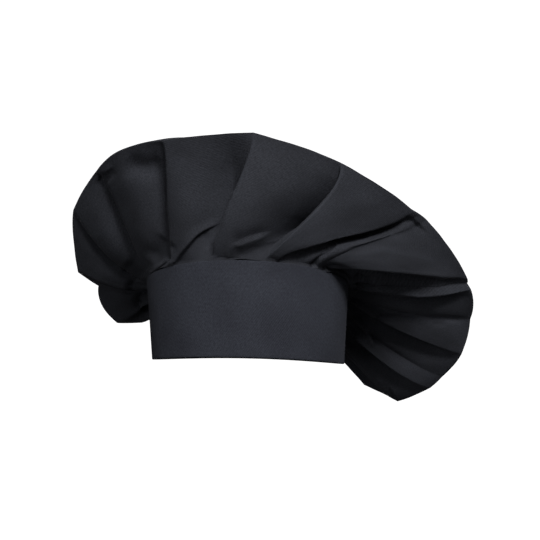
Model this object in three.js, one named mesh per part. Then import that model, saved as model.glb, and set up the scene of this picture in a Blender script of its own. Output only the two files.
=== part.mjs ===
import * as THREE from 'three';

// Chef hat, in millimetres. The origin is the middle of the rim opening, +Z is up,
// the front is towards -Y and the crown droops towards +X.

// The head band.
const HEAD_ROUND = 580;
const BAND_WALL = 1.8;
const BAND_HEIGHT = 75;
const BAND_FLARE = 5.8;
const BAND_LEAN = -2.5;
const SEAM_FRONT_RISE = 13.5;
const RIM_DIP = 3.6;

// The gathered crown.
const CLOTH_WALL = 1.2;
const SEAM_GAP = 0.3;
const FOOT_INSET = 0.4;
const NECK_HEIGHT = 3;
const CROWN_SPREAD = 135;
const CROWN_RISE = 120;
const FOLD_DEPTH = 29;
const EDGE_PITCH = 4.8;

// How far a fold's curve is led by its direction at either end, as a share of its length.
const LEAVE_PULL = 0.36;
const ARRIVE_PULL = 0.25;
const SHOULDER_PULL = 0.3;

const NAVY_BLACK = 0x2c2d33;
const BAND_BLACK = 0x33343b;

const BAND_SIDES = 84;
const UNDER_STEPS = [0, 0.03, 0.08, 0.16, 0.27, 0.4, 0.54, 0.67, 0.79, 0.89, 0.96, 1];
const TOP_STEPS = [0.1, 0.22, 0.36, 0.52, 0.68, 0.84];

// One row for each fold line, clockwise from the left lobe as seen from above.
// at: where it leaves the seam, in degrees from the front towards +X
// bearing: where its tip stands at the crown's edge, in the same degrees
// spread: how far its tip stands out past the band, as a share of CROWN_SPREAD
// rise: how high its tip stands over the seam, as a share of CROWN_RISE
// lift, swing: how steeply up and how far sideways it leaves the seam, in degrees
// arrive, roll: how steeply the fold reaches its tip and the top sheet leaves it, in degrees
// hollow: where the cloth sinks between this fold and the next, as a share of the way
// tuck: how deep it sinks there, as a share of FOLD_DEPTH, 0 for a full panel
// deepest: where along the fold it is deepest, as a share of the fold
// swell, bow: how far the panel and its outer edge bulge, as shares of its width
const FOLD_COLUMNS = [
  'at', 'bearing', 'spread', 'rise', 'lift', 'swing', 'arrive', 'roll',
  'hollow', 'tuck', 'deepest', 'swell', 'bow',
];
const FOLD_ROWS = [
  [-138, -131, 0.475, -0.287, -5, 0, 0, 98, 0.5, 0.5, 0.35, 0.05, 0.16],
  [-124, -121, 0.538, -0.3, -5, 0, 0, 102, 0, 0, 0.5, 0.05, 0.12],
  [-116, -108, 0.53, 0.011, -10, 0, 15, 111, 0.9, 0.7, 0.3, 0.05, 0.02],
  [-108, -99, 0.61, 0.105, -15, 0, 30, 120, 1.04, 1.1, 0.25, 0.05, 0.03],
  [-95, -85, 0.57, 0.58, 15, 0, 60, 138, 1.04, 1.2, 0.25, 0.05, 0.02],
  [-75, -69, 0.42, 0.84, 55, 10, 45, 150, 1.04, 1.0, 0.6, 0.05, 0.09],
  [-43, -38, 0.21, 0.99, 72, 30, 75, 161, 1.04, 1.0, 0.45, 0.05, 0.02],
  [-17, 1, 0.14, 1.03, 50, 25, 95, 165, 1.03, 1.35, 0.4, 0.05, 0.02],
  [11, 41, 0.17, 0.87, 34, 35, 100, 160, 0, 0, 0.5, 0.03, 0.03],
  [17, 71, 0.45, 0.59, 25, 50, 45, 148, 0.45, 0.7, 0.4, 0.05, 0.02],
  [41, 77.5, 0.53, 0.545, 28, 20, 40, 145, 0, 0, 0.5, 0.07, 0.03],
  [48, 91, 0.87, 0.11, -2, 25, 0, 134, 0.15, 1.2, 0.3, 0.05, 0.02],
  [86, 92, 0.885, 0.085, 5, 5, 5, 128, 0, 0, 0.5, 0.08, 0.05],
  [93, 94, 0.905, 0.03, -22, 0, 20, 122, 0.15, 0.9, 0.35, 0.05, 0.05],
  [107, 100, 0.985, -0.21, -25, -10, 0, 114, 0, 0, 0.5, 0.07, 0.04],
  [114, 106, 0.98, -0.51, -36, -5, -10, 106, 0.15, 0.9, 0.35, 0.05, 0.03],
  [125, 112, 0.93, -0.72, -35, -20, -15, 100, 0, 0, 0.5, 0.08, 0.03],
  [131, 116, 0.88, -0.825, -52, -10, -10, 96, 0.12, 1.0, 0.35, 0.05, 0.03],
  [146, 126, 0.79, -0.96, -26, -10, -20, 92, 0.5, 0.8, 0.4, 0.05, 0.14],
  [158, 138, 0.72, -0.82, -12, -8, -35, 92, 0.5, 0.7, 0.4, 0.05, -0.04],
  [171, 148, 0.69, -0.28, -5, 0, -15, 94, 0.5, 0.7, 0.4, 0.05, 0.05],
  [184, 171, 0.63, -0.26, -12, 0, 20, 95, 0.5, 0.8, 0.4, 0.05, 0.05],
  [196, 193, 0.57, -0.2, -10, 0, 20, 96, 0.5, 0.7, 0.4, 0.05, 0.05],
  [209, 214, 0.5, -0.14, -10, 0, 10, 97, 0.5, 0.5, 0.4, 0.05, 0.03],
];

// The middle of the top and the shoulder round it, as shares of CROWN_SPREAD and CROWN_RISE.
// The shoulder falls towards the side that droops.
const TOP_MIDDLE = { right: 0.1, back: 0.2, rise: 1.09 };
const SHOULDER = { reach: 0.55, rest: -0.06, fall: 0.36, towards: 105 };

// The columns of vertices across a sunken strip: how far across it they stand, as a share of
// the way to the hollow, and how deep, as a share of the hollow's depth.
const SLOPE_COLUMNS = [
  { across: 0.33, depth: 0.02, swell: 1 },
  { across: 0.66, depth: 0.22, swell: 0.6 },
  { across: 0.9, depth: 0.62, swell: 0 },
  { across: 1, depth: 1, swell: 0 },
];
const WALL_DEPTH = 0.55;

const UP = new THREE.Vector3(0, 0, 1);
const RIM_RADIUS = HEAD_ROUND / (2 * Math.PI) + BAND_WALL;
const SEAM_RADIUS = RIM_RADIUS + BAND_FLARE;

const radians = THREE.MathUtils.degToRad;
const mix = (a, b, share) => a + (b - a) * share;
const clamp = THREE.MathUtils.clamp;

function outward(degrees) {
  const angle = radians(degrees);
  return new THREE.Vector3(Math.sin(angle), -Math.cos(angle), 0);
}

// A direction that rises by the given degrees from the outward one.
function slanted(degrees, rise) {
  const flat = outward(degrees).multiplyScalar(Math.cos(radians(rise)));
  return flat.addScaledVector(UP, Math.sin(radians(rise)));
}

// A point of the band: share 0 is its rim, share 1 its seam, depth is inwards from the outside.
function bandPoint(degrees, share, depth, lower = 0) {
  const rimHeight = RIM_DIP * Math.cos(radians(degrees)) ** 2;
  const seamHeight = BAND_HEIGHT + SEAM_FRONT_RISE * Math.cos(radians(degrees));
  const point = outward(degrees).multiplyScalar(RIM_RADIUS + BAND_FLARE * share - depth);
  point.x += BAND_LEAN * share;
  point.z = mix(rimHeight, seamHeight, share) + lower;
  return point;
}

// Where a fold leaves the neck that stands on the seam.
function foldRoot(degrees) {
  return bandPoint(degrees, 1, 0, NECK_HEIGHT);
}

function foldTip(fold) {
  const reach = SEAM_RADIUS + CROWN_SPREAD * fold.spread;
  const point = outward(fold.bearing).multiplyScalar(reach);
  point.z = BAND_HEIGHT + CROWN_RISE * fold.rise;
  return point;
}

function curvePoint(start, first, second, end, share) {
  const rest = 1 - share;
  return new THREE.Vector3()
    .addScaledVector(start, rest ** 3)
    .addScaledVector(first, 3 * rest * rest * share)
    .addScaledVector(second, 3 * rest * share * share)
    .addScaledVector(end, share ** 3);
}

// The curve of one fold line from the neck to its tip.
function foldCurve(fold) {
  const root = foldRoot(fold.at);
  const tip = foldTip(fold);
  const length = root.distanceTo(tip);
  const leave = slanted(fold.at + fold.swing, fold.lift);
  const arrive = slanted(fold.bearing, fold.arrive);
  const first = root.clone().addScaledVector(leave, length * LEAVE_PULL);
  const second = tip.clone().addScaledVector(arrive, -length * ARRIVE_PULL);
  return (share) => curvePoint(root, first, second, tip, share);
}

// How deep the hollow is at a share of the way out: quick to sink, slow to come back.
function hollowProfile(share, deepest) {
  if (share < deepest) {
    return 1 - (1 - share / deepest) ** 2.2;
  }
  const rest = (1 - share) / (1 - deepest);
  return 0.6 * rest + 0.4 * rest * rest * (3 - 2 * rest);
}

// The strip of cloth between two fold lines, as a function that gives a point of it.
function stripSurface(fold, next) {
  const left = foldCurve(fold);
  const right = foldCurve(next);
  const middle = (share) => left(share).lerp(right(share), 0.5);
  return (share, acrossAt, depthShare, swellShare) => {
    const across = right(share).sub(left(share));
    const width = across.length();
    const along = middle(Math.min(1, share + 0.01)).sub(middle(Math.max(0, share - 0.01)));
    along.normalize();
    const facing = new THREE.Vector3().crossVectors(across, along).normalize();
    const crestRoom = clamp(EDGE_PITCH / width, 0, 0.4);
    const settled = clamp(Math.min(share / 0.12, (1 - share) / 0.15), 0, 1);
    const inside = clamp(fold.hollow, crestRoom, 1 - crestRoom);
    const hollow = mix(inside, fold.hollow, settled);
    const place = acrossAt(hollow);
    const depth = FOLD_DEPTH * fold.tuck * hollowProfile(share, fold.deepest) * depthShare;
    const swell = fold.swell * width * Math.sin(Math.PI * share ** 0.7) * swellShare;
    const bow = fold.bow * width * 4 * place * (1 - place) * share ** 4;
    const outer = middle(share).setZ(0).normalize();
    outer.add(along).multiplyScalar(0.7);
    return left(share)
      .addScaledVector(across, place)
      .addScaledVector(facing, swell - depth)
      .addScaledVector(outer, bow);
  };
}

// The vertex columns of a strip: where each stands across it, and how deep and full it is.
function stripColumns(fold) {
  const crest = { acrossAt: () => 0, depth: 0, swell: 0 };
  if (fold.tuck === 0) {
    return [
      crest,
      { acrossAt: () => 0.3, depth: 0, swell: 0.9 },
      { acrossAt: () => 0.7, depth: 0, swell: 0.9 },
    ];
  }
  if (fold.hollow >= 0.5) {
    const slope = SLOPE_COLUMNS.map(({ across, depth, swell }) => (
      { acrossAt: (hollow) => hollow * across, depth, swell }
    ));
    const wall = { acrossAt: (hollow) => mix(hollow, 1, 0.5), depth: WALL_DEPTH, swell: 0 };
    return [crest, ...slope, wall];
  }
  const slope = SLOPE_COLUMNS.map(({ across, depth, swell }) => (
    { acrossAt: (hollow) => 1 - (1 - hollow) * across, depth, swell }
  ));
  const wall = { acrossAt: (hollow) => hollow * 0.5, depth: WALL_DEPTH, swell: 0 };
  return [crest, wall, ...slope.reverse()];
}

// The top sheet's curve from a point of the crown's edge to the middle of the top.
function topCurve(edge, roll) {
  const middle = new THREE.Vector3(
    CROWN_SPREAD * TOP_MIDDLE.right,
    CROWN_SPREAD * TOP_MIDDLE.back,
    BAND_HEIGHT + CROWN_RISE * TOP_MIDDLE.rise,
  );
  const bearing = THREE.MathUtils.radToDeg(Math.atan2(edge.x, -edge.y));
  const side = (1 + Math.cos(radians(bearing - SHOULDER.towards))) / 2;
  const first = edge.clone()
    .addScaledVector(slanted(bearing, roll), middle.distanceTo(edge) * SHOULDER_PULL);
  const second = middle.clone().lerp(edge, SHOULDER.reach);
  second.z = middle.z - CROWN_RISE * (SHOULDER.rest + SHOULDER.fall * side ** 2.2);
  return (share) => curvePoint(edge, first, second, middle, share);
}

// All the columns of the crown's outside, from the seam over the edge towards the middle.
function crownColumns() {
  const folds = FOLD_ROWS.map((row) => (
    Object.fromEntries(FOLD_COLUMNS.map((name, index) => [name, row[index]]))
  ));
  const columns = [];
  folds.forEach((fold, index) => {
    const next = folds[(index + 1) % folds.length];
    const turn = next.at < fold.at ? 360 : 0;
    const surface = stripSurface(fold, next);
    for (const column of stripColumns(fold)) {
      const under = UNDER_STEPS.map((share) => (
        surface(share, column.acrossAt, column.depth, column.swell)
      ));
      const place = column.acrossAt(clamp(fold.hollow, 0.1, 0.9));
      const foot = bandPoint(mix(fold.at, next.at + turn, place), 1, FOOT_INSET, SEAM_GAP);
      const edge = under[under.length - 1];
      const over = topCurve(edge, mix(fold.roll, next.roll, place));
      columns.push([foot, ...under, ...TOP_STEPS.map(over)]);
    }
  });
  return { columns, middle: topCurve(columns[0][0], 0)(1) };
}

function meshFrom(points, triangles, name, colour) {
  const geometry = new THREE.BufferGeometry();
  const flat = points.flatMap((point) => [point.x, point.y, point.z]);
  geometry.setAttribute('position', new THREE.Float32BufferAttribute(flat, 3));
  geometry.setIndex(triangles.flat());
  geometry.computeVertexNormals();
  const material = new THREE.MeshStandardMaterial({ color: colour, roughness: 0.9 });
  material.name = 'poly-cotton twill';
  const mesh = new THREE.Mesh(geometry, material);
  mesh.name = name;
  return mesh;
}

// A hollow body of even wall from the crown's outside: the inside is the same net moved in.
function makeCrown() {
  const { columns, middle } = crownColumns();
  const count = columns.length;
  const rows = columns[0].length;
  const outside = [...columns.flat(), middle];
  const triangles = [];
  for (let i = 0; i < count; i += 1) {
    const here = i * rows;
    const there = ((i + 1) % count) * rows;
    for (let j = 0; j < rows - 1; j += 1) {
      triangles.push([here + j, there + j, there + j + 1], [here + j, there + j + 1, here + j + 1]);
    }
    triangles.push([here + rows - 1, there + rows - 1, count * rows]);
  }
  const skin = meshFrom(outside, triangles, 'outside', NAVY_BLACK);
  const normals = skin.geometry.getAttribute('normal');
  const inside = outside.map((point, index) => {
    const normal = new THREE.Vector3().fromBufferAttribute(normals, index);
    return point.clone().addScaledVector(normal, -CLOTH_WALL);
  });
  for (let i = 0; i < count; i += 1) {
    const foot = columns[i][0];
    const level = new THREE.Vector3(foot.x, foot.y, 0).setLength(CLOTH_WALL);
    inside[i * rows] = foot.clone().sub(level);
  }
  const shift = outside.length;
  const inner = triangles.map(([a, b, c]) => [a + shift, c + shift, b + shift]);
  const lip = [];
  for (let i = 0; i < count; i += 1) {
    const here = i * rows;
    const there = ((i + 1) % count) * rows;
    lip.push([here, here + shift, there + shift], [here, there + shift, there]);
  }
  return meshFrom([...outside, ...inside], [...triangles, ...inner, ...lip], 'crown', NAVY_BLACK);
}

// The band is one ring of doubled cloth with a rounded fold along its rim.
function makeBand() {
  const half = BAND_WALL / 2;
  const profile = [];
  for (const share of [0.03, 0.25, 0.5, 0.75, 1]) {
    profile.push({ share, depth: 0, lower: 0 });
  }
  for (const share of [1, 0.5, 0.03]) {
    profile.push({ share, depth: BAND_WALL, lower: 0 });
  }
  for (const degrees of [30, 60, 90, 120, 150]) {
    const angle = radians(degrees);
    profile.push({ share: 0, depth: half + half * Math.cos(angle), lower: half - half * Math.sin(angle) });
  }
  const rows = profile.length;
  const points = [];
  const triangles = [];
  for (let i = 0; i < BAND_SIDES; i += 1) {
    const here = i * rows;
    const there = ((i + 1) % BAND_SIDES) * rows;
    for (let j = 0; j < rows; j += 1) {
      const { share, depth, lower } = profile[j];
      const up = (j + 1) % rows;
      points.push(bandPoint((360 * i) / BAND_SIDES, share, depth, lower));
      triangles.push([here + j, there + j, there + up], [here + j, there + up, here + up]);
    }
  }
  return meshFrom(points, triangles, 'band', BAND_BLACK);
}

const hat = new THREE.Group();
hat.name = 'chef_hat';
hat.add(makeBand(), makeCrown());

export default hat;
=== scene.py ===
"""A black chef hat: a plain head band with a full crown gathered into it by pleats."""

from __future__ import annotations

import logging
import math
from dataclasses import dataclass, field
from enum import Enum

import bmesh
import bpy
import numpy as np
from mathutils import Matrix, Vector, noise

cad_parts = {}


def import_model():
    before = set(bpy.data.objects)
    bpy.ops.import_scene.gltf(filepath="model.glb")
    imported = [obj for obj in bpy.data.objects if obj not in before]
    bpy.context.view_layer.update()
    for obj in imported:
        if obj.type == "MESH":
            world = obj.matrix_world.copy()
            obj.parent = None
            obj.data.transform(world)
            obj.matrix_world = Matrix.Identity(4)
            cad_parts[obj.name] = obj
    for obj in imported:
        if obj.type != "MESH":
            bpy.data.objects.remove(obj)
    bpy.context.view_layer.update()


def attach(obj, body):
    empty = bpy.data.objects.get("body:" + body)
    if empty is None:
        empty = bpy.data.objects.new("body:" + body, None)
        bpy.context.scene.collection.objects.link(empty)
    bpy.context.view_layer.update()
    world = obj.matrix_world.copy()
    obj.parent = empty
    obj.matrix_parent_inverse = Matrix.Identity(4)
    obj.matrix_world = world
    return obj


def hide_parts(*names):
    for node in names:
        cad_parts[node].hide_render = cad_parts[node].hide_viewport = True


log = logging.getLogger("chef_hat")

MM = 0.001
UP = Vector((0.0, 0.0, 1.0))
# How far the bands of a Wave texture turn over one unit at a scale of 1, in radians.
WAVE_TURN = 20.0


def linear(hex_code: str) -> tuple[float, float, float, float]:
    """Turn an sRGB hex colour to linear values.

    Args:
        hex_code: Six hex digits, with or without a leading hash sign.

    Returns:
        Red, green, blue and an alpha of 1.
    """
    digits = hex_code.lstrip("#")
    parts = [int(digits[i:i + 2], 16) / 255 for i in (0, 2, 4)]
    red, green, blue = (
        part / 12.92 if part <= 0.04045 else ((part + 0.055) / 1.055) ** 2.4 for part in parts
    )
    return red, green, blue, 1.0


def mix(start: float, end: float, share: float) -> float:
    """Return the value at a share of the way from start to end."""
    return start + (end - start) * share


def clamp(value: float, low: float = 0.0, high: float = 1.0) -> float:
    """Return the value held between low and high."""
    return max(low, min(high, value))


def outward(degrees: float) -> Vector:
    """Return the level direction at a bearing from the front towards the drooping side."""
    angle = math.radians(degrees)
    return Vector((math.sin(angle), -math.cos(angle), 0.0))


def slanted(degrees: float, rise: float) -> Vector:
    """Return the direction at a bearing that climbs by rise degrees."""
    climb = math.radians(rise)
    return outward(degrees) * math.cos(climb) + UP * math.sin(climb)


def curve_point(points: tuple[Vector, Vector, Vector, Vector], share: float) -> Vector:
    """Return a point of the curve that four points lead.

    Args:
        points: The start, the two points that lead the curve, and the end.
        share: How far along, from 0 to 1.

    Returns:
        The point.
    """
    rest = 1 - share
    start, first, second, end = points
    return (start * rest ** 3 + first * (3 * rest * rest * share)
            + second * (3 * rest * share * share) + end * share ** 3)


@dataclass(frozen=True)
class TwillCloth:
    """Matt black poly-cotton twill: fine diagonal ribs over a soft, slightly lint-grey face.

    The ribs of the real cloth are 0.7 mm apart, too fine for the picture, so they are drawn
    rib_spacing apart. The threads that cross them are given as shares of the ribs' spacing
    and height. Lint and ribs each turn a share of the dyed colour to a lighter, lint-grey one,
    and a painted highlight along the fold lines turns a further share.
    """

    name: str
    colour: str
    lint_and_highlight_colour: str
    rib_spacing: float
    rib_angle: float
    rib_height: float
    thread_spacing: float = 0.62
    thread_height: float = 0.35
    lint_size: float = 1.923 * MM
    dye_size: float = 71.4 * MM
    lint_share: float = 0.8
    rib_share: float = 0.2
    # Painted highlight along the fold lines: the share of the lighter colour that it adds.
    crest_highlight_share: float = 0.15
    roughness: float = 0.88
    sheen: float = 0.04

    def material(self) -> bpy.types.Material:
        """Build the material on the piece's own UV map, whose unit is a metre of cloth."""
        made = bpy.data.materials.new(self.name)
        made.use_nodes = True
        tree = made.node_tree
        tree.nodes.clear()
        cloth = add_node(tree, "ShaderNodeUVMap", uv_map="cloth").outputs["UV"]
        weave = self.weave(tree, cloth)
        bump = add_node(tree, "ShaderNodeBump", {
            "Strength": 0.6, "Distance": self.rib_height, "Height": weave,
        })
        # Short fibres stand off the twill: no gloss, and a little cool light at grazing angles.
        shader = add_node(tree, "ShaderNodeBsdfPrincipled", {
            "Base Color": self.tone(tree, cloth, weave),
            "Roughness": self.roughness,
            "Specular IOR Level": 0.22,
            "Sheen Weight": self.sheen,
            "Sheen Roughness": 0.45,
            "Sheen Tint": linear("#c4c8d8"),
            "Normal": bump.outputs["Normal"],
        })
        add_node(tree, "ShaderNodeOutputMaterial", {"Surface": shader.outputs["BSDF"]})
        return made

    def weave(
        self, tree: bpy.types.NodeTree, cloth: bpy.types.NodeSocket,
    ) -> bpy.types.NodeSocket:
        """Draw ribs across the turned cloth, broken into threads by a second, finer band.

        Args:
            tree: The material's node tree.
            cloth: The place on the cloth.

        Returns:
            The height of the weave.
        """
        turned = add_node(tree, "ShaderNodeMapping", {
            "Vector": cloth, "Rotation": (0.0, 0.0, math.radians(self.rib_angle)),
        })
        wander = {"Detail": 1.0, "Detail Scale": 2.0}
        ribs = add_node(tree, "ShaderNodeTexWave", {
            "Vector": turned.outputs["Vector"],
            "Scale": math.tau / (WAVE_TURN * self.rib_spacing),
            "Distortion": 0.35,
            **wander,
        })
        threads = add_node(tree, "ShaderNodeTexWave", {
            "Vector": cloth,
            "Scale": math.tau / (WAVE_TURN * self.rib_spacing * self.thread_spacing),
            "Distortion": 0.3,
            **wander,
        }, bands_direction="Y")
        height = add_node(tree, "ShaderNodeMath", {
            0: threads.outputs["Fac"], 1: self.thread_height, 2: ribs.outputs["Fac"],
        }, operation="MULTIPLY_ADD")
        return height.outputs[0]

    def tone(
        self, tree: bpy.types.NodeTree, cloth: bpy.types.NodeSocket, weave: bpy.types.NodeSocket,
    ) -> bpy.types.NodeSocket:
        """Colour the cloth between its dyed colour and a lighter one, for lint, ribs and a painted
        highlight along the fold lines.

        Args:
            tree: The material's node tree.
            cloth: The place on the cloth.
            weave: The height of the weave.

        Returns:
            The colour.
        """
        # Lint and dye are a little uneven over a few millimetres and over a hand's breadth.
        lint = add_node(tree, "ShaderNodeTexNoise", {
            "Vector": cloth, "Scale": 1 / self.lint_size, "Detail": 3.0, "Roughness": 0.8,
        })
        dye = add_node(tree, "ShaderNodeTexNoise", {
            "Vector": cloth, "Scale": 1 / self.dye_size, "Detail": 3.0, "Roughness": 0.5,
        })
        uneven = add_node(tree, "ShaderNodeMath", {
            0: lint.outputs["Fac"], 1: dye.outputs["Fac"],
        }, operation="MULTIPLY")
        spread = add_node(tree, "ShaderNodeMapRange", {
            "Value": uneven.outputs[0], "From Min": 0.16, "From Max": 0.38,
        })
        ribbed = add_node(tree, "ShaderNodeMath", {
            0: weave, 1: self.rib_share,
        }, operation="MULTIPLY")
        linty = add_node(tree, "ShaderNodeMath", {
            0: spread.outputs["Result"], 1: self.lint_share, 2: ribbed.outputs[0],
        }, operation="MULTIPLY_ADD")
        # Painted highlight: the fold lines, marked by the crest layer, turn a further share toward
        # the lighter colour.
        crest = add_node(tree, "ShaderNodeAttribute", attribute_name="crest")
        lint_and_highlight = add_node(tree, "ShaderNodeMath", {
            0: crest.outputs["Fac"], 1: self.crest_highlight_share, 2: linty.outputs[0],
        }, operation="MULTIPLY_ADD")
        colour = add_node(tree, "ShaderNodeMix", {
            "Factor": lint_and_highlight.outputs[0],
            "A": linear(self.colour),
            "B": linear(self.lint_and_highlight_colour),
        }, data_type="RGBA")
        return colour.outputs["Result"]


def add_node(
    tree: bpy.types.NodeTree, kind: str, settings: dict | None = None, **options: str,
) -> bpy.types.Node:
    """Add a shader node.

    Args:
        tree: The material's node tree.
        kind: The node's type.
        settings: Values or output sockets for its inputs, by name or place.
        options: The node's own settings, such as data_type.

    Returns:
        The node.
    """
    node = tree.nodes.new(kind)
    for name, value in options.items():
        setattr(node, name, value)
    for name, value in (settings or {}).items():
        if isinstance(name, int):
            socket = node.inputs[name]
        else:
            socket = next(item for item in node.inputs if item.name == name and item.enabled)
        if isinstance(value, bpy.types.NodeSocket):
            tree.links.new(value, socket)
        else:
            socket.default_value = value
    return node


def cloth_grid(
    mesh_data: bmesh.types.BMesh, columns: int, rows: int,
) -> dict[bmesh.types.BMVert, tuple[int, int]]:
    """Fill an empty bmesh with a flat grid, whose vertices are then laid to their form.

    Args:
        mesh_data: The bmesh, which already has its layers.
        columns: How many faces there are across.
        rows: How many faces there are up.

    Returns:
        The column and the row of each vertex.
    """
    bmesh.ops.create_grid(
        mesh_data, x_segments=columns, y_segments=rows, size=1.0, calc_uvs=False,
    )
    return {
        vert: (round((vert.co.x + 1) / 2 * columns), round((vert.co.y + 1) / 2 * rows))
        for vert in mesh_data.verts
    }


def close_up(mesh_data: bmesh.types.BMesh) -> None:
    """Merge the vertices that meet, and turn the faces outwards."""
    bmesh.ops.remove_doubles(mesh_data, verts=mesh_data.verts, dist=0.01 * MM)
    bmesh.ops.recalc_face_normals(mesh_data, faces=mesh_data.faces)


def finish_piece(mesh_data: bmesh.types.BMesh, name: str) -> bpy.types.Object:
    """Turn a bmesh to a smooth-shaded object at the origin.

    Args:
        mesh_data: The finished bmesh, which is freed.
        name: The piece's name.

    Returns:
        The object.
    """
    mesh = bpy.data.meshes.new(name)
    mesh_data.to_mesh(mesh)
    mesh_data.free()
    for polygon in mesh.polygons:
        polygon.use_smooth = True
    piece = bpy.data.objects.new(name, mesh)
    bpy.context.scene.collection.objects.link(piece)
    return piece


@dataclass
class Band:
    """The upright head band: doubled twill round a firm lining, folded along its lower edge."""

    head_round: float = 580 * MM
    wall: float = 1.8 * MM
    height: float = 75 * MM
    flare: float = 5.8 * MM
    lean: float = -2.5 * MM
    seam_tilt: float = 13.5 * MM
    rim_dip: float = 3.6 * MM
    # The rings up the wall, and the cloth of its inside, which is another stretch of the strip.
    edge_share: float = 0.01
    seam_edge_round: float = 0.8
    inside_shares: tuple[float, ...] = (0.99, 0.8, 0.6, 0.4, 0.2, 0.01)
    inside_shift: float = 200 * MM
    # The slack of the cloth, the back seam, and how far a firm place holds the cloth flat.
    slack_height: float = 0.35 * MM
    slack_waves: float = 3.1
    slack_waves_up: float = 1.3
    fine_height: float = 0.08 * MM
    fine_waves: float = 5.0
    fine_waves_up: float = 3.0
    back_seam_depth: float = 0.45 * MM
    back_seam_width: float = 0.8 * MM
    inside_softness: float = 0.4
    seam_hold: float = 0.7
    columns: int = 288
    rise_rows: int = 40
    fold_rows: int = 8

    @property
    def rim_radius(self) -> float:
        """The outside radius at the lower edge."""
        return self.head_round / math.tau + self.wall

    @property
    def seam_radius(self) -> float:
        """The outside radius at the seam with the crown."""
        return self.rim_radius + self.flare

    def point(self, degrees: float, share: float, depth: float, lift: float = 0.0) -> Vector:
        """Return a point of the band.

        Args:
            degrees: The bearing from the front.
            share: 0 at the lower edge, 1 at the seam.
            depth: How far in from the outside.
            lift: How far above that height.

        Returns:
            The point.
        """
        cosine = math.cos(math.radians(degrees))
        place = outward(degrees) * (self.rim_radius + self.flare * share - depth)
        place.x += self.lean * share
        place.z = mix(self.rim_dip * cosine ** 2, self.height + self.seam_tilt * cosine, share)
        place.z += lift
        return place

    def profile(self) -> list[tuple[float, float, float]]:
        """List the share, depth and lift of each ring, once round the wall."""
        half = self.wall / 2
        rings = []
        for row in range(self.rise_rows + 1):
            share = mix(self.edge_share, 1 - self.edge_share, row / self.rise_rows)
            rings.append((share, 0.0, 0.0))
        for step in range(1, self.fold_rows):
            angle = math.pi * step / self.fold_rows
            lift = half * (math.sin(angle) - 1) * self.seam_edge_round
            rings.append((1.0, half - half * math.cos(angle), lift))
        rings += [(share, self.wall, 0.0) for share in self.inside_shares]
        for step in range(1, self.fold_rows):
            angle = math.pi * step / self.fold_rows
            rings.append((0.0, half + half * math.cos(angle), half * (1 - math.sin(angle))))
        rings.append(rings[0])
        return rings

    def build(self) -> bpy.types.Object:
        """Build the band as one closed ring, whose columns meet at the back seam."""
        rings = self.profile()
        mesh_data = bmesh.new()
        cloth = mesh_data.loops.layers.uv.new("cloth")
        places = cloth_grid(mesh_data, self.columns, len(rings) - 1)
        for face in mesh_data.faces:
            for loop in face.loops:
                column, row = places[loop.vert]
                share, depth, _ = rings[row]
                length = column / self.columns * self.head_round
                shift = self.inside_shift if depth > self.wall / 2 else 0.0
                loop[cloth].uv = (length, share * self.height + shift)
        for vert, (column, row) in places.items():
            degrees = 360 * column / self.columns + 180
            share, depth, lift = rings[row]
            spot = self.point(degrees, share, depth, lift)
            vert.co = spot + outward(degrees) * self.softness(degrees, share, depth)
        close_up(mesh_data)
        return finish_piece(mesh_data, "head_band")

    def softness(self, degrees: float, share: float, depth: float) -> float:
        """Return how far the cloth stands off its plain form at a place, in metres."""
        spot = outward(degrees) * self.slack_waves + UP * share * self.slack_waves_up
        slack = noise.noise(spot) * self.slack_height
        finer = Vector((spot.x * self.fine_waves, spot.y * self.fine_waves,
                        share * self.fine_waves_up))
        fine = noise.noise(finer) * self.fine_height
        from_seam = math.radians(degrees % 360 - 180) * self.rim_radius
        seam = self.back_seam_depth * math.exp(-(from_seam / self.back_seam_width) ** 2)
        softened = 1.0 if depth < self.wall / 2 else self.inside_softness
        return (slack + fine - seam) * softened * (1 - self.seam_hold * share ** 6)


@dataclass(frozen=True)
class Fold:
    """One fold line of the crown, and the strip of cloth from it to the next one.

    Angles are in degrees. Bearings run clockwise from the front as seen from above.

    Attributes:
        at: The bearing where the fold leaves the neck.
        bearing: The bearing of its tip.
        spread: How far the tip stands out past the seam, as a share of the crown's spread.
        rise: How far the tip stands over the band, as a share of the crown's rise.
        lift: How steeply the fold climbs as it leaves the neck.
        swing: How far it turns from its bearing there.
        arrive: How steeply it climbs as it comes to its tip.
        roll: How steeply the top sheet starts over the edge. Past 90 it leans inwards.
        hollow: Where the hollow lies across the strip, from 0 to 1.
        tuck: How deep the hollow is, as a share of the crown's fold depth. 0 is no hollow.
        deepest: Where along the strip the hollow is deepest, from 0 to 1.
        swell: How far the panel bulges, as a share of its width.
        bow: How far its edge bows out, as a share of its width.
        sharp: How late and how sharply the panel turns down into the hollow.
        columns: How many columns of faces the strip has.
    """

    at: float
    bearing: float
    spread: float
    rise: float
    lift: float
    swing: float
    arrive: float
    roll: float
    hollow: float
    tuck: float
    deepest: float
    swell: float
    bow: float
    sharp: float
    columns: int

    @property
    def panel_first(self) -> bool:
        """Whether the panel starts at this fold and the hollow lies by the next one."""
        return self.hollow >= 0.5

    def place(self, hollow: float, part: float, on_wall: bool) -> float:
        """Return where a column lies across the strip, from 0 to 1.

        Args:
            hollow: Where the hollow lies in this row.
            part: The share of the way over the panel, or on over the wall.
            on_wall: Whether the column is on the hollow's wall.

        Returns:
            The place, from this fold to the next one.
        """
        if self.tuck == 0:
            return part
        if self.panel_first:
            return mix(hollow, 1, part) if on_wall else hollow * part
        return mix(hollow, 0, part) if on_wall else 1 - (1 - hollow) * part


class DarkSide(Enum):
    """On which side of a crease, seen along it, the cloth drops away."""

    LEFT = 1
    RIGHT = -1
    NONE = 0


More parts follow.
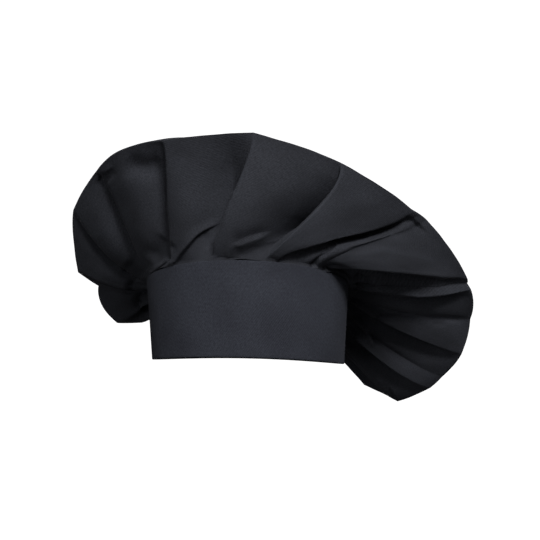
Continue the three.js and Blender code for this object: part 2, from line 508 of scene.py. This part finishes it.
@dataclass(frozen=True)
class Crease:
    """One crease or soft wave in the front of the crown.

    It runs through points that are given in millimetres, right and up from the middle of the
    view, at the hat's own distance. Its other lengths are millimetres too.

    Attributes:
        line: The points that it runs through.
        height: How far its edge stands out. A hollow has a height below 0.
        soft: Over how far the edge runs out.
        dark: The side on which the cloth drops away.
        drop: How far it drops there.
        back: Over how far it comes back.
        edge: How wide the step down to the drop is.
        grow: The first share of its length, over which it grows.
        fade: The last share of its length, over which it fades.
        reach: How many times soft or back away the cloth still feels it.
        steps: How many points lie on the smooth line for each given one.
    """

    line: tuple[tuple[float, float], ...]
    height: float
    soft: float
    dark: DarkSide = DarkSide.NONE
    drop: float = 0.0
    back: float = 8.0
    edge: float = 1.6
    grow: float = 0.25
    fade: float = 0.35
    reach: float = 2.6
    steps: int = 8

    def samples(self) -> np.ndarray:
        """Return closely spaced points of the smooth line through the crease's points."""
        ends = [np.array(spot, dtype=float) for spot in self.line]
        spots = [2 * ends[0] - ends[1], *ends, 2 * ends[-1] - ends[-2]]
        made = []
        for before, low, high, after in zip(spots, spots[1:], spots[2:], spots[3:]):
            for step in range(self.steps):
                part = step / self.steps
                made.append(0.5 * (2 * low + (high - before) * part
                                   + (2 * before - 5 * low + 4 * high - after) * part ** 2
                                   + (3 * low - before - 3 * high + after) * part ** 3))
        made.append(ends[-1])
        return np.array(made)

    @staticmethod
    def nearest(
        line: np.ndarray, spots: np.ndarray,
    ) -> tuple[np.ndarray, np.ndarray, np.ndarray]:
        """Measure spots against the nearest stretch of a line.

        Args:
            line: Closely spaced points.
            spots: Where the vertices are seen, one row each.

        Returns:
            For each spot its distance from the line, its side of it (1 left, -1 right) and
            the share of the line's length at its nearest point.
        """
        steps = np.diff(line, axis=0)
        lengths = np.linalg.norm(steps, axis=1)
        run = np.concatenate([[0.0], np.cumsum(lengths)])
        distance = np.full(len(spots), np.inf)
        side = np.zeros(len(spots))
        share = np.zeros(len(spots))
        for start, step, length, done in zip(line, steps, lengths, run):
            away = spots - start
            part = np.clip((away @ step) / length ** 2, 0, 1)
            gap = np.linalg.norm(away - part[:, None] * step, axis=1)
            turn = np.sign(step[0] * away[:, 1] - step[1] * away[:, 0])
            closer = gap < distance
            distance = np.where(closer, gap, distance)
            side = np.where(closer, turn, side)
            share = np.where(closer, (done + part * length) / run[-1], share)
        return distance, side, share

    def heights(self, seen: np.ndarray) -> np.ndarray:
        """Return how far the crease moves the cloth out, in millimetres.

        Args:
            seen: Where each vertex is seen, one row each.

        Returns:
            One value for each vertex.
        """
        line = self.samples()
        moved = np.zeros(len(seen))
        reach = self.reach * max(self.soft, self.back)
        near = np.all(
            (seen > line.min(axis=0) - reach) & (seen < line.max(axis=0) + reach), axis=1,
        )
        distance, side, share = self.nearest(line, seen[near])
        strength = smooth(share / self.grow) * smooth((1 - share) / self.fade)
        bright = self.height * np.exp(-(distance / self.soft) ** 2)
        if self.dark is DarkSide.NONE:
            moved[near] = bright * strength
            return moved
        wall = smooth(distance / self.edge)
        past = np.maximum(0.0, distance - self.edge)
        shade = self.height * (1 - wall) - self.drop * wall * np.exp(-(past / self.back) ** 2)
        moved[near] = np.where(side == self.dark.value, shade, bright) * strength
        return moved


def smooth(values: np.ndarray) -> np.ndarray:
    """Return the smooth step of each value from 0 to 1."""
    held = np.clip(values, 0, 1)
    return held * held * (3 - 2 * held)


# Columns: at, bearing, spread, rise, lift, swing, arrive, roll, hollow, tuck, deepest, swell,
# bow, sharp, columns. The rows go round from the back left by the front to the back right.
FOLDS = (
    Fold(-138, -131, 0.475, -0.287, -5, 0, 0, 98, 0.5, 0.5, 0.35, 0.05, 0.16, 3, 14),
    Fold(-124, -121, 0.538, -0.3, -5, 0, 0, 102, 0, 0, 0.5, 0.05, 0.12, 3, 14),
    Fold(-116, -108, 0.53, 0.011, -10, 0, 15, 111, 0.9, 0.8, 0.3, 0.05, 0.02, 3, 18),
    Fold(-108, -99, 0.61, 0.105, -15, 0, 30, 120, 1.04, 1.1, 0.25, 0.05, 0.03, 3.5, 30),
    Fold(-95, -85, 0.57, 0.58, 15, 0, 60, 138, 1.05, 1.2, 0.25, 0.05, 0.02, 3.5, 34),
    Fold(-75, -69, 0.42, 0.84, 55, 10, 45, 150, 1.05, 1.0, 0.6, 0.05, 0.09, 4, 40),
    Fold(-43, -38, 0.21, 0.99, 72, 30, 75, 161, 0.74, 0.95, 0.55, 0.05, 0.02, 2.4, 52),
    Fold(-17, 1, 0.14, 1.03, 50, 25, 95, 165, 1.05, 1.35, 0.4, 0.05, 0.02, 3, 44),
    Fold(11, 41, 0.17, 0.87, 34, 35, 100, 160, 0, 0, 0.5, 0.03, 0.03, 4, 24),
    Fold(17, 71, 0.45, 0.59, 25, 50, 45, 148, 0.45, 0.7, 0.4, 0.05, 0.02, 3.5, 36),
    Fold(41, 77.5, 0.53, 0.545, 28, 20, 40, 145, 0, 0, 0.5, 0.07, 0.03, 4, 24),
    Fold(48, 91, 0.87, 0.11, -2, 25, 0, 134, 0.4, 1.2, 0.22, 0.05, 0.02, 2.4, 44),
    Fold(86, 93, 0.885, 0.085, 5, 28, 5, 128, 0, 0, 0.5, 0.08, 0.05, 4, 24),
    Fold(91, 92.5, 0.905, 0.03, -22, -22, 20, 122, 0.25, 1.2, 0.3, 0.05, 0.05, 2.6, 40),
    Fold(105, 100, 0.985, -0.21, -25, 12, 0, 114, 0, 0, 0.5, 0.07, 0.04, 4, 24),
    Fold(112, 104.5, 0.98, -0.51, -36, -26, -10, 106, 0.28, 1.3, 0.35, 0.05, 0.03, 2.4, 40),
    Fold(124, 112, 0.93, -0.72, -35, 0, -15, 100, 0, 0, 0.5, 0.08, 0.03, 4, 20),
    Fold(130, 115, 0.88, -0.825, -52, -28, -10, 96, 0.28, 1.25, 0.35, 0.05, 0.03, 2.4, 36),
    Fold(146, 126, 0.79, -0.96, -26, -10, -20, 92, 0.5, 0.8, 0.4, 0.05, 0.14, 3, 26),
    Fold(158, 138, 0.72, -0.82, -12, -8, -35, 92, 0.5, 0.7, 0.4, 0.05, -0.04, 3, 14),
    Fold(171, 148, 0.69, -0.28, -5, 0, -15, 94, 0.5, 0.7, 0.4, 0.05, 0.05, 3, 10),
    Fold(184, 171, 0.63, -0.26, -12, 0, 20, 95, 0.5, 0.8, 0.4, 0.05, 0.05, 3, 10),
    Fold(196, 193, 0.57, -0.2, -10, 0, 20, 96, 0.5, 0.7, 0.4, 0.05, 0.05, 3, 10),
    Fold(209, 214, 0.5, -0.14, -10, 0, 10, 97, 0.5, 0.5, 0.4, 0.05, 0.03, 3, 10),
)


CREASES: tuple[Crease, ...] = (
    # The small flap on the left outline, over a dark notch.
    Crease(((-173, 98), (-165, 98), (-158, 104)),
           height=1.2, soft=5, dark=DarkSide.RIGHT, drop=1.6, back=6, edge=3, grow=0.3, fade=0.3),
    Crease(((-172, 92), (-161, 86)),
           height=-2.5, soft=5, grow=0.2, fade=0.3),
    # Deep hollows where the left folds meet at the band.
    Crease(((-147, 8), (-128, -7)),
           height=-6, soft=9, grow=0.4, fade=0.1),
    Crease(((-146, -14), (-124, -24)),
           height=-6, soft=8, grow=0.4, fade=0.1),
    Crease(((-127, -20), (-129, -42)),
           height=-7, soft=7, grow=0.1, fade=0.3),
    # The soft hollows at the top and the foot of the upright fold, and the light roll under it.
    Crease(((-148, 108), (-125, 102), (-106, 108)),
           height=-5, soft=10, grow=0.3, fade=0.2),
    Crease(((-120, 8), (-102, 32)),
           height=-5, soft=9, grow=0.3, fade=0.2),
    Crease(((-120, -7), (-110, 3), (-97, 12)),
           height=3.5, soft=4.5, grow=0.2, fade=0.2),
    # The tuck that lies across the foot of the second panel.
    Crease(((-98, 2), (-92, 12), (-83, 24), (-72, 36), (-60, 43), (-46, 49)),
           height=3, soft=5, dark=DarkSide.RIGHT, drop=2, back=14, edge=2, grow=0.1, fade=0.35),
    Crease(((-64, 40), (-58, 12)),
           height=-1.5, soft=4, grow=0.3, fade=0.1),
    # The small hooked tuck right of the middle fold, above the seam.
    Crease(((-36, 24), (-24, 29), (-12, 33), (3, 39)),
           height=2.6, soft=6, dark=DarkSide.LEFT, drop=2.2, back=7, edge=1.8, grow=0.15, fade=0.5),
    Crease(((-39, 8), (-41, 15), (-39, 22), (-33, 25)),
           height=1.2, soft=2.5, grow=0.3, fade=0.3),
    Crease(((-39, 13), (-22, 9), (-4, 7)),
           height=1.5, soft=3.2, grow=0.2, fade=0.2),
    # The thin crease that leads to the long fold of the right shoulder.
    Crease(((3, 8), (17, 17), (32, 22), (50, 25), (68, 28)),
           height=1.2, soft=6, dark=DarkSide.RIGHT, drop=1.5, back=5, edge=2, grow=0.1, fade=0.2),
    # The short hook at its far end.
    Crease(((136, 57), (144, 52), (151, 45), (160, 37)),
           height=1.0, soft=6, dark=DarkSide.RIGHT, drop=1.5, back=5, edge=3, grow=0.25, fade=0.4),
    # The slit beside the light panel, and the soft shade that carries it on.
    Crease(((42, -1), (55, 13), (69, 26)),
           height=1.2, soft=5, dark=DarkSide.LEFT, drop=4, back=3.5, edge=2, grow=0.12, fade=0.15),
    Crease(((75, 16), (94, 23), (116, 32), (135, 45)),
           height=-2.5, soft=6, grow=0.2, fade=0.3),
    # The cloth curls over the end of the band, round a dark gap.
    Crease(((51, -3), (62, 0), (73, -3), (81, -12)),
           height=2.5, soft=3.5, dark=DarkSide.LEFT, drop=3, back=4, edge=2, grow=0.2, fade=0.1),
    Crease(((75, -12), (82, -18), (88, -21)),
           height=2.5, soft=2.4, grow=0.2, fade=0.2),
    Crease(((87, -15), (94, -5)),
           height=-8, soft=6, grow=0.2, fade=0.2),
    # The cone of cloth under the gap.
    Crease(((88, -20), (102, -10), (112, -7)),
           height=1.5, soft=8, dark=DarkSide.LEFT, drop=3, back=5, edge=2, grow=0.1, fade=0.4),
    Crease(((96, -18), (115, -18), (150, -15), (190, -11)),
           height=6, soft=9, grow=0.15, fade=0.3),
    # The narrow flap and the wavy edge that it leads to.
    Crease(((80, -28), (95, -39), (107, -48)),
           height=3, soft=2.4, grow=0.2, fade=0.15),
    Crease(((107, -48), (123, -46), (135, -47), (145, -50)),
           height=1.2, soft=9, dark=DarkSide.LEFT, drop=2, back=3, edge=2, grow=0.05, fade=0.4),
    Crease(((150, -49), (175, -49), (199, -51)),
           height=-1.5, soft=3, grow=0.3, fade=0.3),
    Crease(((160, -54), (178, -54)),
           height=-1, soft=2.2, grow=0.3, fade=0.3),
    # The roll that bends down beside the band.
    Crease(((82, -44), (91, -53), (99, -64), (104, -78)),
           height=3, soft=4, dark=DarkSide.LEFT, drop=3, back=8, edge=2, grow=0.2, fade=0.15),
    Crease(((120, -115), (127, -130)),
           height=1, soft=3, dark=DarkSide.RIGHT, drop=1.5, back=4, edge=2, grow=0.3, fade=0.1),
    Crease(((77, -52), (80, -82)),
           height=-5, soft=6, grow=0.2, fade=0.3),
)


@dataclass(frozen=True)
class TopSheet:
    """How the cloth lies over the top, from the edge to its middle.

    Attributes:
        right: How far right of the axis the middle is, as a share of the crown's spread.
        behind: How far behind it the middle is, as a share of the crown's spread.
        height: How high the middle is over the band, as a share of the crown's rise.
        droop_bearing: The bearing of the side on which the sheet falls.
        lead: How far from the middle the sheet is led, as a share of the way to the edge.
        full: How far it stands over the middle there, as a share of the crown's rise.
        fall: How far the droop takes it down again, as a share of the crown's rise.
        narrow: How narrow the drooping side is.
    """

    right: float = 0.1
    behind: float = 0.2
    height: float = 1.09
    droop_bearing: float = 105.0
    lead: float = 0.55
    full: float = 0.06
    fall: float = 0.36
    narrow: float = 2.2


@dataclass(frozen=True)
class Slack:
    """The small slack waves of the cloth: heights in millimetres, waves for each millimetre."""

    broad_height: float = 1.4
    broad_waves: float = 0.018
    fine_height: float = 0.45
    fine_waves: float = 0.055
    fine_start: tuple[float, float, float] = (7.0, 3.0, 1.0)
    clear_of_seam: float = 20 * MM


@dataclass
class Crown:
    """The full crown: a circle of twill gathered into the band by pleats.

    Each fold line runs from the neck, a short rise on the seam, out to its tip on the crown's
    edge. The strip of cloth from it to the next one is a panel and the steep wall of a hollow.
    Over the edge the same cloth goes on to the middle of the top.
    """

    band: Band
    folds: tuple[Fold, ...] = FOLDS
    creases: tuple[Crease, ...] = CREASES
    top: TopSheet = TopSheet()
    slack: Slack = Slack()
    flat_radius: float = 300 * MM
    spread: float = 135 * MM
    rise: float = 120 * MM
    fold_depth: float = 32 * MM
    neck_height: float = 3 * MM
    foot_depth: float = 0.9 * MM
    foot_lift: float = 0.02 * MM
    # How far a fold line and the top sheet are led straight, as shares of their lengths.
    leave_pull: float = 0.36
    arrive_pull: float = 0.25
    shoulder_pull: float = 0.3
    # How steeply a hollow deepens, and how straight it runs out.
    hollow_start: float = 2.2
    hollow_straight: float = 0.6
    # The share of a strip's columns that is its panel, and the powers of its curves across.
    panel_columns: float = 0.74
    panel_crowding: float = 1.4
    plain_swell: float = 0.98
    swell_lead: float = 0.8
    swell_end: int = 5
    wall_curve: float = 2.2
    # The room beside a hollow at the neck and at the edge, and how far in it is kept.
    hollow_room: float = 4.8 * MM
    hollow_room_most: float = 0.4
    neck_stretch: float = 0.12
    edge_stretch: float = 0.15
    # How the rows, the swell and the bow go on along a strip.
    row_crowding: float = 1.15
    row_probe: float = 0.01
    swell_early: float = 0.7
    bow_late: int = 4
    bow_unit: float = 0.7
    # Where the painted highlight along the fold lines starts, and how soon the creases show on
    # cloth that turns to the eye.
    crest_from: int = 3
    press_facing: float = 2.5
    under_rows: int = 110
    top_rows: int = 34

    @property
    def edge_row(self) -> int:
        """The row of the crown's edge, after the foot and the underside."""
        return self.under_rows + 1

    def root(self, degrees: float) -> Vector:
        """Return where a fold leaves the neck that stands on the seam."""
        return self.band.point(degrees, 1, 0, self.neck_height)

    def fold_curve(self, fold: Fold) -> tuple[Vector, Vector, Vector, Vector]:
        """Return the four points that lead a fold line from the neck to its tip."""
        root = self.root(fold.at)
        tip = outward(fold.bearing) * (self.band.seam_radius + self.spread * fold.spread)
        tip.z = self.band.height + self.rise * fold.rise
        length = (tip - root).length
        first = root + slanted(fold.at + fold.swing, fold.lift) * length * self.leave_pull
        second = tip - slanted(fold.bearing, fold.arrive) * length * self.arrive_pull
        return root, first, second, tip

    def hollow_profile(self, share: float, deepest: float) -> float:
        """Return how deep a hollow is at a share of the way out: quick down, slow up."""
        if share < deepest:
            return 1 - (1 - share / deepest) ** self.hollow_start
        rest = (1 - share) / (1 - deepest)
        return mix(rest * rest * (3 - 2 * rest), rest, self.hollow_straight)

    def cross_section(self, fold: Fold, step: float) -> tuple[float, bool, float, float]:
        """Return how a column of the cloth lies across a strip.

        Args:
            fold: The strip's first fold.
            step: How far through the strip's columns, from 0 to 1.

        Returns:
            The share of the way over the panel, or on over the hollow's wall, whether it is
            on the wall, the depth share and the swell share.
        """
        if fold.tuck == 0:
            return step, False, 0.0, math.sin(math.pi * step) * self.plain_swell
        along = step if fold.panel_first else 1 - step
        if along <= self.panel_columns:
            part = 1 - (1 - along / self.panel_columns) ** self.panel_crowding
            swell = math.sin(math.pi * part ** self.swell_lead) * (1 - part ** self.swell_end)
            return part, False, part ** fold.sharp, swell
        part = (along - self.panel_columns) / (1 - self.panel_columns)
        return part, True, 1 - part ** self.wall_curve, 0.0

    def hollow_place(self, fold: Fold, width: float, share: float) -> float:
        """Return where a strip's hollow lies across it, with room beside it at both ends."""
        room = clamp(self.hollow_room / width, 0, self.hollow_room_most)
        settled = clamp(min(share / self.neck_stretch, (1 - share) / self.edge_stretch))
        return mix(clamp(fold.hollow, room, 1 - room), fold.hollow, settled)

    def strip_rows(self, index: int) -> list[list[Vector]]:
        """Work out a strip's underside.

        Args:
            index: The strip's place among the folds.

        Returns:
            For each column, its points from the neck to the edge.
        """
        fold = self.folds[index]
        after = self.folds[(index + 1) % len(self.folds)]
        left, right = self.fold_curve(fold), self.fold_curve(after)
        columns: list[list[Vector]] = [[] for _ in range(fold.columns)]
        shape = [self.cross_section(fold, column / fold.columns) for column in range(fold.columns)]
        for row in range(self.under_rows + 1):
            share = (row / self.under_rows) ** self.row_crowding
            start, end = curve_point(left, share), curve_point(right, share)
            across = end - start
            width = across.length
            ahead, behind = min(1.0, share + self.row_probe), max(0.0, share - self.row_probe)
            along = ((curve_point(left, ahead) + curve_point(right, ahead))
                     - (curve_point(left, behind) + curve_point(right, behind))).normalized()
            facing = across.cross(along).normalized()
            hollow = self.hollow_place(fold, width, share)
            deep = self.fold_depth * fold.tuck * self.hollow_profile(share, fold.deepest)
            full = fold.swell * width * math.sin(math.pi * share ** self.swell_early)
            # The edge bows out between level and the way that the strip runs.
            outer = (start + end) / 2
            outer.z = 0
            outer = (outer.normalized() + along) * self.bow_unit
            for points, (part, on_wall, depth, swell) in zip(columns, shape):
                place = fold.place(hollow, part, on_wall)
                bow = fold.bow * width * 4 * place * (1 - place) * share ** self.bow_late
                points.append(start + across * place + facing * (full * swell - deep * depth)
                              + outer * bow)
        return columns

    def top_curve(self, edge: Vector, roll: float) -> tuple[Vector, Vector, Vector, Vector]:
        """Return the four points that lead the top sheet from the edge to the middle."""
        top = self.top
        middle = Vector((self.spread * top.right, self.spread * top.behind,
                         self.band.height + self.rise * top.height))
        bearing = math.degrees(math.atan2(edge.x, -edge.y))
        side = (1 + math.cos(math.radians(bearing - top.droop_bearing))) / 2
        first = edge + slanted(bearing, roll) * (middle - edge).length * self.shoulder_pull
        second = middle.lerp(edge, top.lead)
        second.z = middle.z + self.rise * (top.full - top.fall * side ** top.narrow)
        return edge, first, second, middle

    def columns(self) -> list[list[Vector]]:
        """Work out every column of the crown, from its foot over the edge to the middle."""
        made = []
        for index, fold in enumerate(self.folds):
            after = self.folds[(index + 1) % len(self.folds)]
            turn = 360 if after.at < fold.at else 0
            for column, under in enumerate(self.strip_rows(index)):
                step = column / fold.columns
                bearing = mix(fold.at, after.at + turn, step)
                foot = self.band.point(bearing, 1, self.foot_depth, self.foot_lift)
                lead = self.top_curve(under[-1], mix(fold.roll, after.roll, step))
                over = [curve_point(lead, row / self.top_rows)
                        for row in range(1, self.top_rows + 1)]
                made.append([foot, *under, *over])
        return made

    def flat_cloth(self, columns: list[list[Vector]]) -> tuple[list[list[float]], list[float]]:
        """Lay the columns flat as spokes of the circle, each at its true length.

        Args:
            columns: The crown's columns of points.

        Returns:
            For each column the way from each of its points to the middle, and the angle of
            each spoke, with the first one's again after a full turn.
        """
        spokes = []
        for points in columns:
            lengths = [0.0]
            for here, there in zip(points, points[1:]):
                lengths.append(lengths[-1] + (there - here).length)
            spokes.append([lengths[-1] - length for length in lengths])
        edge = [points[self.edge_row] for points in columns]
        turned = [0.0]
        for here, there in zip(edge, edge[1:] + edge[:1]):
            turned.append(turned[-1] + (there - here).length)
        return spokes, [math.tau * length / turned[-1] for length in turned]

    def crest_columns(self) -> set[int]:
        """Return the columns that run along a fold line."""
        starts = set()
        total = 0
        for fold in self.folds:
            starts.add(total)
            total += fold.columns
        return starts

    def build(self) -> bpy.types.Object:
        """Build the crown as one sheet of cloth, closed round and over the top."""
        columns = self.columns()
        count = len(columns)
        mesh_data = bmesh.new()
        cloth = mesh_data.loops.layers.uv.new("cloth")
        crest = mesh_data.verts.layers.float.new("crest")
        places = cloth_grid(mesh_data, count, len(columns[0]) - 1)
        spokes, angles = self.flat_cloth(columns)
        for face in mesh_data.faces:
            for loop in face.loops:
                column, row = places[loop.vert]
                reach, angle = spokes[column % count][row], angles[column]
                loop[cloth].uv = (reach * math.cos(angle), reach * math.sin(angle))
        crests = self.crest_columns()
        for vert, (column, row) in places.items():
            vert.co = columns[column % count][row]
            # The fold lines are marked for a painted highlight in the cloth's colour.
            if column % count in crests and self.crest_from <= row < self.edge_row:
                vert[crest] = 1.0
        close_up(mesh_data)
        self.crumple(mesh_data)
        self.press_creases(mesh_data)
        return finish_piece(mesh_data, "pleated_crown")

    def crumple(self, mesh_data: bmesh.types.BMesh) -> None:
        """Give the cloth its small slack waves, without the even look of a drawn form."""
        mesh_data.normal_update()
        slack = self.slack
        moves = {}
        for vert in mesh_data.verts:
            spot = vert.co * (1 / MM)
            broad = noise.noise(spot * slack.broad_waves) * slack.broad_height
            finer = spot * slack.fine_waves + Vector(slack.fine_start)
            fine = noise.noise(finer) * slack.fine_height
            seam = self.band.point(math.degrees(math.atan2(vert.co.x, -vert.co.y)), 1, 0)
            above_seam = clamp((vert.co - seam).length / slack.clear_of_seam)
            moves[vert] = vert.normal * (broad + fine) * MM * above_seam
        for vert, move in moves.items():
            vert.co += move

    def press_creases(self, mesh_data: bmesh.types.BMesh) -> None:
        """Move the front of the crown out and in by its creases."""
        mesh_data.normal_update()
        verts = list(mesh_data.verts)
        eye = Eye()
        seen = np.array([eye.seen(vert.co) for vert in verts])
        facing = np.array([vert.normal.dot((eye.place - vert.co).normalized()) for vert in verts])
        moved = np.zeros(len(verts))
        for crease in self.creases:
            moved += crease.heights(seen)
        moved *= np.clip(facing * self.press_facing, 0, 1) * MM
        for vert, move in zip(verts, moved):
            if move:
                vert.co += vert.normal * float(move)


@dataclass(frozen=True)
class Eye:
    """Where the hat is seen from, level with its rim and a little to the right of its middle.

    view_width is how wide the view is at the hat's distance.
    """

    place: Vector = field(default_factory=lambda: Vector((19 * MM, -800 * MM, 0.0)))
    aim: Vector = field(default_factory=lambda: Vector((19.25 * MM, 0.0, 91.75 * MM)))
    roll: float = 1.37
    view_width: float = 540 * MM

    @property
    def distance(self) -> float:
        """How far the eye is from the point it looks at."""
        return (self.aim - self.place).length

    def turn(self) -> Matrix:
        """Return the eye's axes: right, up and back, as columns."""
        forward = (self.aim - self.place).normalized()
        right = forward.cross(UP).normalized()
        upward = right.cross(forward)
        level = Matrix((right, upward, -forward)).transposed()
        return level @ Matrix.Rotation(math.radians(self.roll), 3, "Z")

    def seen(self, point: Vector) -> tuple[float, float]:
        """Return how far right and up of the view's middle a point is seen, in millimetres."""
        local = self.turn().transposed() @ (point - self.place)
        scale = self.distance / -local.z / MM
        return local.x * scale, local.y * scale



@dataclass(frozen=True)
class SoftBox:
    """A square soft light: where it stands and its side in metres, and its power in watts."""

    name: str
    place: tuple[float, float, float]
    size: float
    power: float


@dataclass
class Studio:
    """The white sweep, the soft lights and the camera at the photo's angle.

    The floor lies well under the hat, which is held up, so that it is also seen from below.
    """

    eye: Eye = field(default_factory=Eye)
    softboxes: tuple[SoftBox, ...] = (
        SoftBox("key_softbox", (0.42, -1.6, 1.15), size=0.6, power=27.0),
        SoftBox("front_softbox", (-0.8, -1.6, 0.15), size=0.9, power=4.6),
        SoftBox("back_softbox", (-0.4, 1.7, 1.0), size=0.9, power=9.0),
    )
    softbox_aim: tuple[float, float, float] = (0.02, 0.0, 0.11)
    room_light: float = 0.058
    sensor_width: float = 36.0
    floor: float = -1.1
    floor_radius: float = 3.2
    bend: float = 1.2
    bend_steps: int = 16
    wall_height: float = 6.0
    sweep_steps: int = 64

    def build(self) -> None:
        """Set up everything that isn't the hat."""
        self.build_sweep()
        self.build_world()
        self.build_lights()
        self.build_camera()

    def build_sweep(self) -> None:
        """Build the floor, which curves up into the backdrop all round."""
        spots = [(0.0, 0.0)]
        for step in range(self.bend_steps + 1):
            angle = math.pi / 2 * step / self.bend_steps
            spots.append((self.floor_radius + self.bend * math.sin(angle),
                          self.bend * (1 - math.cos(angle))))
        spots.append((self.floor_radius + self.bend, self.wall_height))
        mesh_data = bmesh.new()
        line = [mesh_data.verts.new((reach, 0.0, self.floor + height)) for reach, height in spots]
        edges = [mesh_data.edges.new(pair) for pair in zip(line, line[1:])]
        bmesh.ops.spin(
            mesh_data, geom=[*line, *edges], cent=(0.0, 0.0, 0.0), axis=(0.0, 0.0, 1.0),
            angle=math.tau, steps=self.sweep_steps, use_merge=True,
        )
        close_up(mesh_data)
        sweep = finish_piece(mesh_data, "studio_sweep")
        paper = bpy.data.materials.new("white paper sweep")
        paper.use_nodes = True
        shader = paper.node_tree.nodes["Principled BSDF"]
        shader.inputs["Base Color"].default_value = linear("#f6f6f6")
        shader.inputs["Roughness"].default_value = 0.95
        shader.inputs["Emission Color"].default_value = linear("#ffffff")
        shader.inputs["Emission Strength"].default_value = 1.0
        sweep.data.materials.append(paper)
        # The sweep is far off and lights nothing: the soft boxes and the room do.
        sweep.visible_diffuse = False
        sweep.visible_glossy = False
        sweep.visible_shadow = False

    def build_world(self) -> None:
        """Light the scene evenly from all round."""
        world = bpy.data.worlds.new("white studio")
        world.use_nodes = True
        back = world.node_tree.nodes["Background"]
        back.inputs["Color"].default_value = linear("#ffffff")
        back.inputs["Strength"].default_value = self.room_light
        bpy.context.scene.world = world

    def build_lights(self) -> None:
        """Place the soft boxes, each turned towards the crown."""
        for box in self.softboxes:
            lamp = bpy.data.lights.new(box.name, "AREA")
            lamp.size = box.size
            lamp.energy = box.power
            holder = bpy.data.objects.new(box.name, lamp)
            holder.location = box.place
            facing = Vector(self.softbox_aim) - Vector(box.place)
            holder.rotation_euler = facing.to_track_quat("-Z", "Y").to_euler()
            bpy.context.scene.collection.objects.link(holder)

    def build_camera(self) -> None:
        """Set the camera level with the rim, aimed a little up, as the photo was taken."""
        lens = bpy.data.cameras.new("photo_camera")
        camera = bpy.data.objects.new("photo_camera", lens)
        camera.matrix_world = Matrix.Translation(self.eye.place) @ self.eye.turn().to_4x4()
        lens.sensor_width = self.sensor_width
        lens.lens = self.eye.distance / self.eye.view_width * self.sensor_width
        bpy.context.scene.collection.objects.link(camera)
        bpy.context.scene.camera = camera


def dress(piece: bpy.types.Object, cloth: TwillCloth) -> None:
    """Give a piece its cloth."""
    piece.data.materials.clear()
    piece.data.materials.append(cloth.material())


def main() -> None:
    """Build the hat and its studio, piece by piece."""
    logging.basicConfig(level=logging.INFO, format="%(message)s")
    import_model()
    bpy.context.scene.view_settings.view_transform = "Standard"
    Studio().build()

    band = Band()
    band_piece = band.build()
    dress(band_piece, TwillCloth(
        "black poly-cotton twill, band", "#2b2c34", "#43464f",
        rib_spacing=1.6 * MM, rib_angle=38.0, rib_height=0.25 * MM,
    ))
    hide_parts("band")
    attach(band_piece, "root")
    log.info("band: %d faces", len(band_piece.data.polygons))

    crown = Crown(band)
    crown_piece = crown.build()
    # The second colour is the lighter one that lint, ribs and the painted highlight along the fold
    # lines lean towards.
    dress(crown_piece, TwillCloth(
        "black poly-cotton twill, crown", "#25262b", "#3e4047",
        rib_spacing=1.4 * MM, rib_angle=52.0, rib_height=0.22 * MM,
    ))
    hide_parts("crown")
    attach(crown_piece, "root")
    log.info("crown: %d faces", len(crown_piece.data.polygons))


if __name__ == "__main__":
    main()
